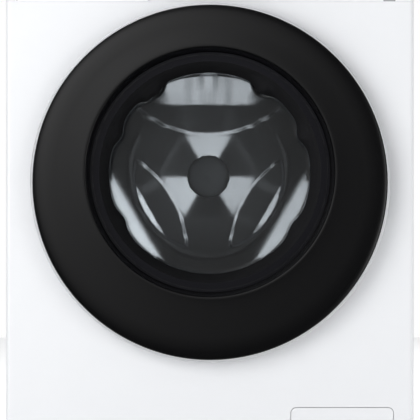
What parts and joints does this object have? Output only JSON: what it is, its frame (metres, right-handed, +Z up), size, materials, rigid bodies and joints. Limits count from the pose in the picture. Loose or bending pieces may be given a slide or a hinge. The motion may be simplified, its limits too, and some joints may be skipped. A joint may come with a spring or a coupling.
{
  "type": "front load washing machine",
  "caption": "Front-loading washing machine with a round hinged door and glass bowl, a perforated drum in a sprung tub, a detergent drawer, a control panel and a pump flap.",
  "frame": {"origin": "on the floor under the middle of the overall box, levelled on its feet", "axes": "+X to the right of a person facing the door, +Y towards the wall behind, +Z up"},
  "size_m": [0.6, 0.63, 0.85],
  "materials": {
    "white_enamel": "gloss white enamel on sheet steel",
    "white_plastic": "gloss white moulding",
    "black_gloss": "polished black",
    "silver_trim": "polished silver plating",
    "door_glass": "clear, thick, pressed",
    "window_tint": "dark tinted window",
    "stainless": "polished stainless steel",
    "zinc_steel": "bright zinc-plated steel",
    "grey_rubber": "matt grey rubber",
    "black_rubber": "matt black rubber",
    "grey_plastic": "satin grey moulding",
    "tub_plastic": "filled polypropylene, satin light grey",
    "dark_plastic": "satin dark moulding",
    "drawer_plastic": "satin pale moulding",
    "cast_aluminium": "cast, uncoated",
    "cast_iron": "cast, painted dark",
    "brass": "turned",
    "blue_plastic": "satin blue moulding"
  },
  "bodies": {
    "cabinet": {"cabinet_shell": "white_enamel", "rear_cover": "white_enamel", "base_frame": "zinc_steel", "front_panel": "white_enamel", "control_fascia": "white_plastic", "top_cover": "white_plastic", "display_window": "window_tint", "control_board": "dark_plastic", "dispenser_housing": "grey_plastic", "inlet_valve": "drawer_plastic", "mains_gland": "dark_plastic", "drain_outlet": "grey_plastic", "door_lock": "dark_plastic", "hinge_bracket": "silver_trim", "hinge_pin": "zinc_steel", "pump_housing": "grey_plastic", "pump_motor": "dark_plastic", "service_recess": "dark_plastic", "damper_cylinders": "dark_plastic", "foot_locknuts": "zinc_steel", "panel_screws": "zinc_steel", "suspension_springs": "zinc_steel", "gasket": "grey_rubber", "sump_hose": "black_rubber", "fill_hose": "black_rubber"},
    "tub": {"tub_front": "tub_plastic", "tub_rear": "tub_plastic", "counterweight_top": "cast_iron", "counterweight_front": "cast_iron", "motor_stator": "cast_iron", "bearings": "zinc_steel", "shaft_seal": "black_rubber", "heating_element": "stainless", "damper_rods": "zinc_steel"},
    "drum": {"drum_shell": "stainless", "drum_back": "stainless", "drum_spider": "cast_aluminium", "drum_shaft": "zinc_steel", "drum_lifters": "drawer_plastic", "hub_cap": "grey_plastic", "motor_rotor": "zinc_steel"},
    "door": {"door_ring": "silver_trim", "door_cover": "black_gloss", "door_glass": "door_glass", "door_inner_frame": "dark_plastic", "hinge_leaf": "silver_trim"},
    "latch": {"latch_hook": "zinc_steel"},
    "dial": {"program_dial": "silver_trim"},
    "power_key": {"power_button": "silver_trim"},
    "start_key": {"start_button": "silver_trim"},
    "drawer": {"drawer_tray": "drawer_plastic", "drawer_front": "white_plastic"},
    "flap": {"service_flap": "white_plastic"},
    "filter_carrier": {"filter_seal": "black_rubber"},
    "filter": {"filter_plug": "dark_plastic"},
    "impeller": {"pump_impeller": "drawer_plastic"},
    "foot_fl": {"foot_front_left": "dark_plastic"},
    "foot_fr": {"foot_front_right": "dark_plastic"},
    "foot_rl": {"foot_rear_left": "dark_plastic"},
    "foot_rr": {"foot_rear_right": "dark_plastic"}
  },
  "joints": [
    {"name": "door_hinge", "type": "hinge", "parent": "cabinet", "child": "door", "pos_m": [-0.248, -0.287, 0.456], "axis": [0, 0, -1], "range_deg": [0, 115]},
    {"name": "latch_swing", "type": "hinge", "parent": "door", "child": "latch", "pos_m": [0.198, -0.271, 0.471], "axis": [0, 0, 1], "range_deg": [0, 12], "stiffness_Nm_per_rad": 0.5, "springref_deg": -11.46},
    {"name": "drum_spin", "type": "hinge", "parent": "tub", "child": "drum", "pos_m": [0, 0.215, 0.471], "axis": [0, 1, 0], "continuous": true},
    {"name": "tub_bounce", "type": "slide", "parent": "cabinet", "child": "tub", "axis": [0, 0, 1], "range_m": [-0.01, 0.01], "stiffness_N_per_m": 12000, "springref_m": 0.03911, "deforming": ["suspension_springs", "gasket", "sump_hose", "fill_hose"]},
    {"name": "dial_turn", "type": "hinge", "parent": "cabinet", "child": "dial", "pos_m": [0, -0.265, 0.772], "axis": [0, 1, 0], "continuous": true},
    {"name": "power_press", "type": "slide", "parent": "cabinet", "child": "power_key", "axis": [0, 1, 0], "range_m": [0, 0.0018], "stiffness_N_per_m": 600, "springref_m": -0.001},
    {"name": "start_press", "type": "slide", "parent": "cabinet", "child": "start_key", "axis": [0, 1, 0], "range_m": [0, 0.0018], "stiffness_N_per_m": 600, "springref_m": -0.001},
    {"name": "drawer_slide", "type": "slide", "parent": "cabinet", "child": "drawer", "axis": [0, -1, 0], "range_m": [0, 0.22]},
    {"name": "flap_hinge", "type": "hinge", "parent": "cabinet", "child": "flap", "pos_m": [0.1944, -0.2627, 0.036], "axis": [1, 0, 0], "range_deg": [0, 90]},
    {"name": "filter_slide", "type": "slide", "parent": "cabinet", "child": "filter_carrier", "axis": [0, -1, 0], "range_m": [0, 0.012]},
    {"name": "filter_turn", "type": "hinge", "parent": "filter_carrier", "child": "filter", "pos_m": [0.195, -0.205, 0.08], "axis": [0, -1, 0], "range_deg": [0, 720]},
    {"name": "impeller_spin", "type": "hinge", "parent": "cabinet", "child": "impeller", "pos_m": [0.195, -0.09, 0.08], "axis": [0, 1, 0], "continuous": true},
    {"name": "foot_screw_fl", "type": "slide", "parent": "cabinet", "child": "foot_fl", "axis": [0, 0, -1], "range_m": [0, 0.015]},
    {"name": "foot_screw_fr", "type": "slide", "parent": "cabinet", "child": "foot_fr", "axis": [0, 0, -1], "range_m": [0, 0.015]},
    {"name": "foot_screw_rl", "type": "slide", "parent": "cabinet", "child": "foot_rl", "axis": [0, 0, -1], "range_m": [0, 0.015]},
    {"name": "foot_screw_rr", "type": "slide", "parent": "cabinet", "child": "foot_rr", "axis": [0, 0, -1], "range_m": [0, 0.015]}
  ],
  "couplings": [
    {"joint": "filter_slide", "follows": "filter_turn", "m_per_rad": 0.00095483}
  ]
}
